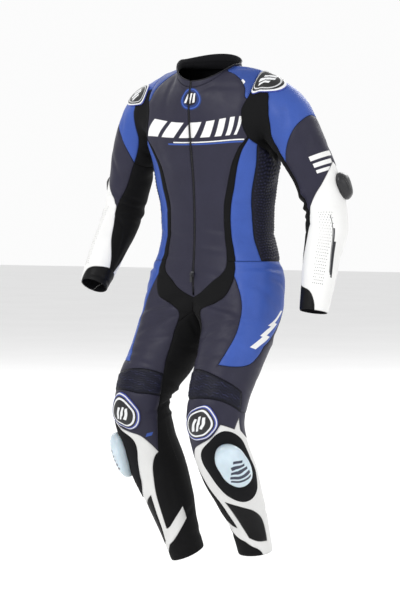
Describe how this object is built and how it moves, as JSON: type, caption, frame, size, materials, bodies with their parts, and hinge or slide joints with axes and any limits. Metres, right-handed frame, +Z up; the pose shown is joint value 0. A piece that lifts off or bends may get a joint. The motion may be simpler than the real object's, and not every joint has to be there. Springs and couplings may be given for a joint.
{
  "type": "one-piece motorcycle racing suit",
  "caption": "One-piece leather racing suit in the shape it has when worn, hollow, open at neck, cuffs and ankles, with armour cups and sliders.",
  "frame": {"origin": "middle of the neck opening at the height of the shoulder points, where the wearer's shoulders carry the suit", "axes": "+Z up, the suit faces -Y, its own left side is +X"},
  "size_m": [0.7936, 0.3708, 1.3999],
  "materials": {
    "navy_leather": "satin grained cowhide, dark navy",
    "blue_leather": "satin grained cowhide, royal blue",
    "black_leather": "satin grained cowhide, black",
    "white_leather": "satin grained cowhide, white",
    "black_stretch": "matt stretch fabric, black",
    "black_lining": "matt knitted lining, black",
    "zip_tape": "woven zip tape, black",
    "zip_metal": "dark metal",
    "pull_rubber": "moulded rubber, black",
    "white_plastic": "moulded cup, white",
    "black_plastic": "moulded cup, black",
    "slider_plastic": "translucent pale blue slider"
  },
  "bodies": {
    "suit": {"back": "navy_leather", "seat": "navy_leather", "crotch": "black_stretch", "collar": "navy_leather", "collar_lining": "black_lining", "zip_slider": "zip_metal", "front_left": "navy_leather", "front_right": "navy_leather", "yoke_left": "blue_leather", "yoke_right": "blue_leather", "strip_left": "black_stretch", "strip_right": "black_stretch", "side_strip_left": "blue_leather", "side_strip_right": "blue_leather", "flank_left": "navy_leather", "flank_right": "navy_leather", "hip_left": "blue_leather", "hip_right": "blue_leather", "thigh_left": "navy_leather", "thigh_right": "navy_leather", "knee_ribs_left": "navy_leather", "knee_ribs_right": "navy_leather", "knee_left": "navy_leather", "knee_right": "navy_leather", "inner_leg_left": "black_stretch", "inner_leg_right": "black_stretch", "shin_left": "white_leather", "shin_right": "white_leather", "shin_lower_left": "black_leather", "shin_lower_right": "black_leather", "zip_tape_left": "zip_tape", "zip_tape_right": "zip_tape", "armhole_stretch_left": "black_stretch", "armhole_stretch_right": "black_stretch", "sleeve_cap_left": "blue_leather", "sleeve_cap_right": "blue_leather", "upper_arm_left": "navy_leather", "upper_arm_right": "navy_leather", "forearm_left": "white_leather", "forearm_right": "white_leather", "inner_sleeve_left": "black_stretch", "inner_sleeve_right": "black_stretch", "cuff_left": "black_leather", "cuff_right": "black_leather", "knee_cup_left": "white_plastic", "knee_cup_right": "white_plastic", "slider_patch_left": "black_leather", "slider_patch_right": "black_leather", "knee_slider_left": "slider_plastic", "knee_slider_right": "slider_plastic", "shoulder_cup_left": "black_plastic", "shoulder_cup_right": "black_plastic", "elbow_slider_left": "black_plastic", "elbow_slider_right": "black_plastic"},
    "pull": {"zip_pull": "pull_rubber"}
  },
  "joints": [
    {"name": "zip_pull_lift", "type": "hinge", "parent": "suit", "child": "pull", "pos_m": [0, -0.11469, -0.53967], "axis": [1, 0, 0], "range_deg": [-150, 0]}
  ]
}
